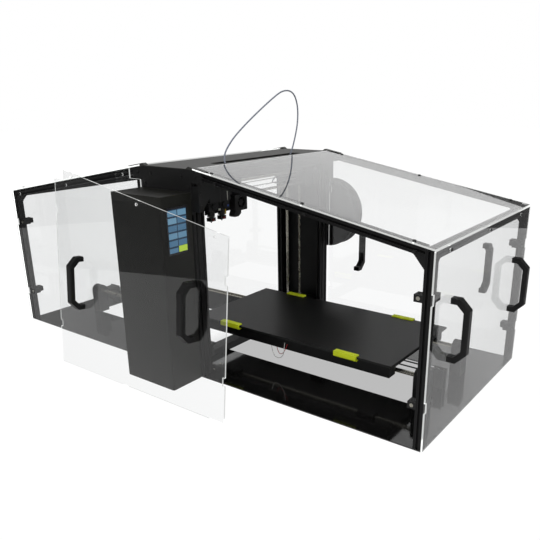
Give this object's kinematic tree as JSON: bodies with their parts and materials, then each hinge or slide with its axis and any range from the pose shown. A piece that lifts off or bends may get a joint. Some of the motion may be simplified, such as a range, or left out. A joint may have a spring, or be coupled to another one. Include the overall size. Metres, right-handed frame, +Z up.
{
  "type": "fdm printer",
  "caption": "Large enclosed filament printer: gantry on two towers over a long sliding bed, clear panels and sloping roof, side control box with screen, spool, one side panel taken off.",
  "frame": {"origin": "centre of the enclosure's footprint, on the table, on the underside of the base cross beam", "axes": "+Z up, -Y towards the machine's front, +X to its right as seen from the front"},
  "size_m": [0.9233, 1.6243, 0.7991],
  "materials": {
    "black_aluminium": "satin black anodised",
    "black_gloss": "gloss black sheet",
    "clear_sheet": "clear acrylic, polished faces",
    "black_plastic": "black moulded",
    "black_steel": "powder coated black",
    "charcoal_steel": "powder coated charcoal, fine texture",
    "steel": "ground",
    "aluminium": "machined",
    "chartreuse": "bright printed plastic",
    "belt_rubber": "matt",
    "screen": "lit display behind glass",
    "board": "solder mask",
    "tube": "translucent PTFE",
    "filament_grey": "satin",
    "bed_black": "satin build surface",
    "sleeve": "braided sleeve"
  },
  "bodies": {
    "frame": {"base_plate": "black_gloss", "corner_posts": "black_aluminium", "end_beams": "black_aluminium", "front_roof_beams": "black_aluminium", "rear_roof_beams": "black_aluminium", "corner_gussets": "black_plastic", "corner_clips": "black_plastic", "front_roof": "clear_sheet", "rear_roof": "clear_sheet", "frame_screws": "black_steel", "rear_side_panels": "clear_sheet", "rear_end_panel": "clear_sheet", "towers": "black_aluminium", "gantry_beams": "black_aluminium", "gantry_cover": "black_steel", "gantry_plates": "black_steel", "base_cross_beam": "black_aluminium", "guide_rods": "steel", "z_brackets": "black_aluminium", "axis_motors": "black_steel", "y_axis_mounts": "black_plastic", "y_belt": "belt_rubber", "cable_loom": "sleeve", "control_box_shell": "charcoal_steel", "control_box_plate": "charcoal_steel", "touchscreen": "screen", "power_supply": "aluminium", "controller_board": "board", "power_inlet": "black_plastic", "spool_arm": "black_plastic", "filament_tube": "tube"},
    "power_switch": {"power_switch": "black_plastic"},
    "spool": {"spool": "black_plastic", "filament": "filament_grey"},
    "lead_screw_left": {"lead_screw_left": "steel"},
    "lead_screw_right": {"lead_screw_right": "steel"},
    "x_axis": {"x_ends": "black_plastic", "x_rods": "steel", "x_motor": "black_steel", "x_belt": "belt_rubber"},
    "x_pulley": {"x_pulley": "aluminium"},
    "x_idler": {"x_idler": "aluminium"},
    "tool_head": {"tool_carriage": "black_plastic", "extruder_motors": "black_steel", "extruder_housings": "black_plastic", "hot_ends": "aluminium", "part_fan_housing": "black_plastic"},
    "part_fan_rotor": {"part_fan_rotor": "black_plastic"},
    "bed": {"build_plate": "bed_black", "bed_frame": "black_aluminium", "bed_bearings": "black_plastic", "bed_clips": "chartreuse"},
    "y_pulley": {"y_pulley": "aluminium"},
    "y_idler": {"y_idler": "aluminium"},
    "front_right_panel": {"front_right_panel": "clear_sheet", "front_right_handles": "black_plastic"},
    "front_end_panel": {"front_end_panel": "clear_sheet", "front_end_handles": "black_plastic"},
    "front_left_panel": {"front_left_panel": "clear_sheet", "front_left_handles": "black_plastic"}
  },
  "joints": [
    {"name": "bed_slide", "type": "slide", "parent": "frame", "child": "bed", "axis": [0, 1, 0], "range_m": [-0.03, 0.55]},
    {"name": "y_pulley_spin", "type": "hinge", "parent": "frame", "child": "y_pulley", "pos_m": [0, 0.676, 0.051], "axis": [1, 0, 0], "range_deg": [-5300, 300]},
    {"name": "y_idler_spin", "type": "hinge", "parent": "frame", "child": "y_idler", "pos_m": [0, -0.676, 0.051], "axis": [1, 0, 0], "range_deg": [-5300, 300]},
    {"name": "x_axis_lift", "type": "slide", "parent": "frame", "child": "x_axis", "axis": [0, 0, 1], "range_m": [-0.324, 0]},
    {"name": "left_screw_spin", "type": "hinge", "parent": "frame", "child": "lead_screw_left", "pos_m": [-0.25, -0.031, 0.06], "axis": [0, 0, 1], "range_deg": [-15050, 60]},
    {"name": "right_screw_spin", "type": "hinge", "parent": "frame", "child": "lead_screw_right", "pos_m": [0.25, -0.031, 0.06], "axis": [0, 0, 1], "range_deg": [-15050, 60]},
    {"name": "head_slide", "type": "slide", "parent": "x_axis", "child": "tool_head", "axis": [1, 0, 0], "range_m": [0, 0.385]},
    {"name": "x_pulley_spin", "type": "hinge", "parent": "x_axis", "child": "x_pulley", "pos_m": [-0.298, -0.0425, 0.52], "axis": [0, -1, 0], "range_deg": [-3500, 60]},
    {"name": "x_idler_spin", "type": "hinge", "parent": "x_axis", "child": "x_idler", "pos_m": [0.262, -0.0425, 0.52], "axis": [0, -1, 0], "range_deg": [-3500, 60]},
    {"name": "part_fan_spin", "type": "hinge", "parent": "tool_head", "child": "part_fan_rotor", "pos_m": [-0.132, -0.09, 0.487], "axis": [0, -1, 0], "continuous": true},
    {"name": "spool_spin", "type": "hinge", "parent": "frame", "child": "spool", "pos_m": [0.372, -0.0835, 0.381], "axis": [1, 0, 0], "continuous": true},
    {"name": "power_rocker", "type": "hinge", "parent": "frame", "child": "power_switch", "pos_m": [-0.384, 0.098, 0.086], "axis": [1, 0, 0], "range_deg": [-16, 0]},
    {"name": "front_end_panel_pull", "type": "slide", "parent": "frame", "child": "front_end_panel", "axis": [0, -1, 0], "range_m": [0, 0.2]},
    {"name": "front_right_panel_pull", "type": "slide", "parent": "frame", "child": "front_right_panel", "axis": [1, 0, 0], "range_m": [0, 0.012]},
    {"name": "front_left_panel_carry", "type": "slide", "parent": "frame", "child": "front_left_panel", "axis": [0, 1, 0], "range_m": [-0.4556, 0]}
  ],
  "couplings": [
    {"joint": "y_pulley_spin", "follows": "bed_slide", "rad_per_m": -157.08},
    {"joint": "y_idler_spin", "follows": "bed_slide", "rad_per_m": -157.08},
    {"joint": "left_screw_spin", "follows": "x_axis_lift", "rad_per_m": 785.4},
    {"joint": "right_screw_spin", "follows": "x_axis_lift", "rad_per_m": 785.4},
    {"joint": "x_pulley_spin", "follows": "head_slide", "rad_per_m": -157.08},
    {"joint": "x_idler_spin", "follows": "head_slide", "rad_per_m": -157.08}
  ]
}
